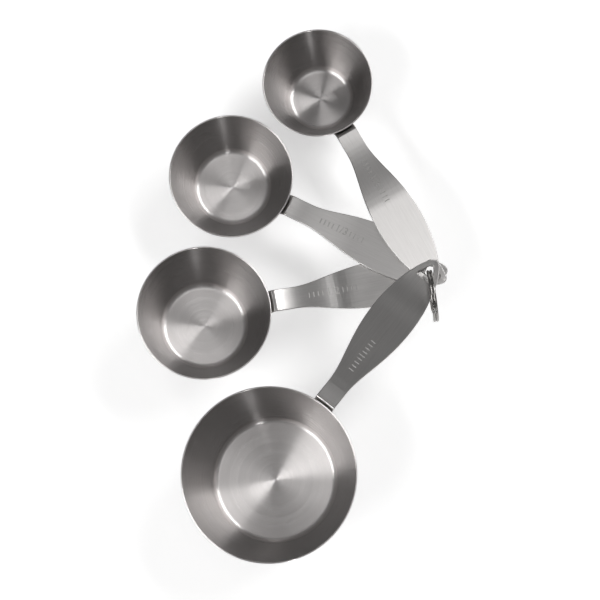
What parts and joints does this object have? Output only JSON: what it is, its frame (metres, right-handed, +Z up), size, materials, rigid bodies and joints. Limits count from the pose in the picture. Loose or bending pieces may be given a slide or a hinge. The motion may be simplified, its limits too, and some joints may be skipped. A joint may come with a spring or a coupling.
{
  "type": "measuring cup set",
  "caption": "Nesting steel measuring cups with leaf-shaped strap handles, fanned out on one split ring for measuring ingredients by volume.",
  "frame": {"origin": "on the surface the cups stand on, under the middle of the whole set", "axes": "+Z up, +Y along the fan from the largest cup to the smallest, +X from the bowls towards the ring"},
  "size_m": [0.1644, 0.2886, 0.0514],
  "materials": {
    "bowl_steel": "fine brushed, rings on the base and round the wall",
    "handle_steel": "brushed lengthwise",
    "ring_steel": "polished spring steel wire"
  },
  "bodies": {
    "one_cup": {"one_cup_bowl": "bowl_steel", "one_cup_handle": "handle_steel"},
    "half_cup": {"half_cup_bowl": "bowl_steel", "half_cup_handle": "handle_steel"},
    "third_cup": {"third_cup_bowl": "bowl_steel", "third_cup_handle": "handle_steel"},
    "quarter_cup": {"quarter_cup_bowl": "bowl_steel", "quarter_cup_handle": "handle_steel"},
    "split_ring": {"split_ring": "ring_steel"}
  },
  "joints": [
    {"name": "half_cup_swing", "type": "hinge", "parent": "one_cup", "child": "half_cup", "pos_m": [0.07231, 0.00907, 0.0318], "axis": [0, 0, -1], "range_deg": [-4, 50]},
    {"name": "third_cup_swing", "type": "hinge", "parent": "half_cup", "child": "third_cup", "pos_m": [0.07231, 0.00907, 0.034], "axis": [0, 0, -1], "range_deg": [-4, 50]},
    {"name": "quarter_cup_swing", "type": "hinge", "parent": "third_cup", "child": "quarter_cup", "pos_m": [0.07231, 0.00907, 0.0362], "axis": [0, 0, -1], "range_deg": [-2, 50]},
    {"name": "ring_swing", "type": "hinge", "parent": "one_cup", "child": "split_ring", "pos_m": [0.07231, 0.00907, 0.0351], "axis": [0, 0, 1], "range_deg": [-8, 15]}
  ]
}
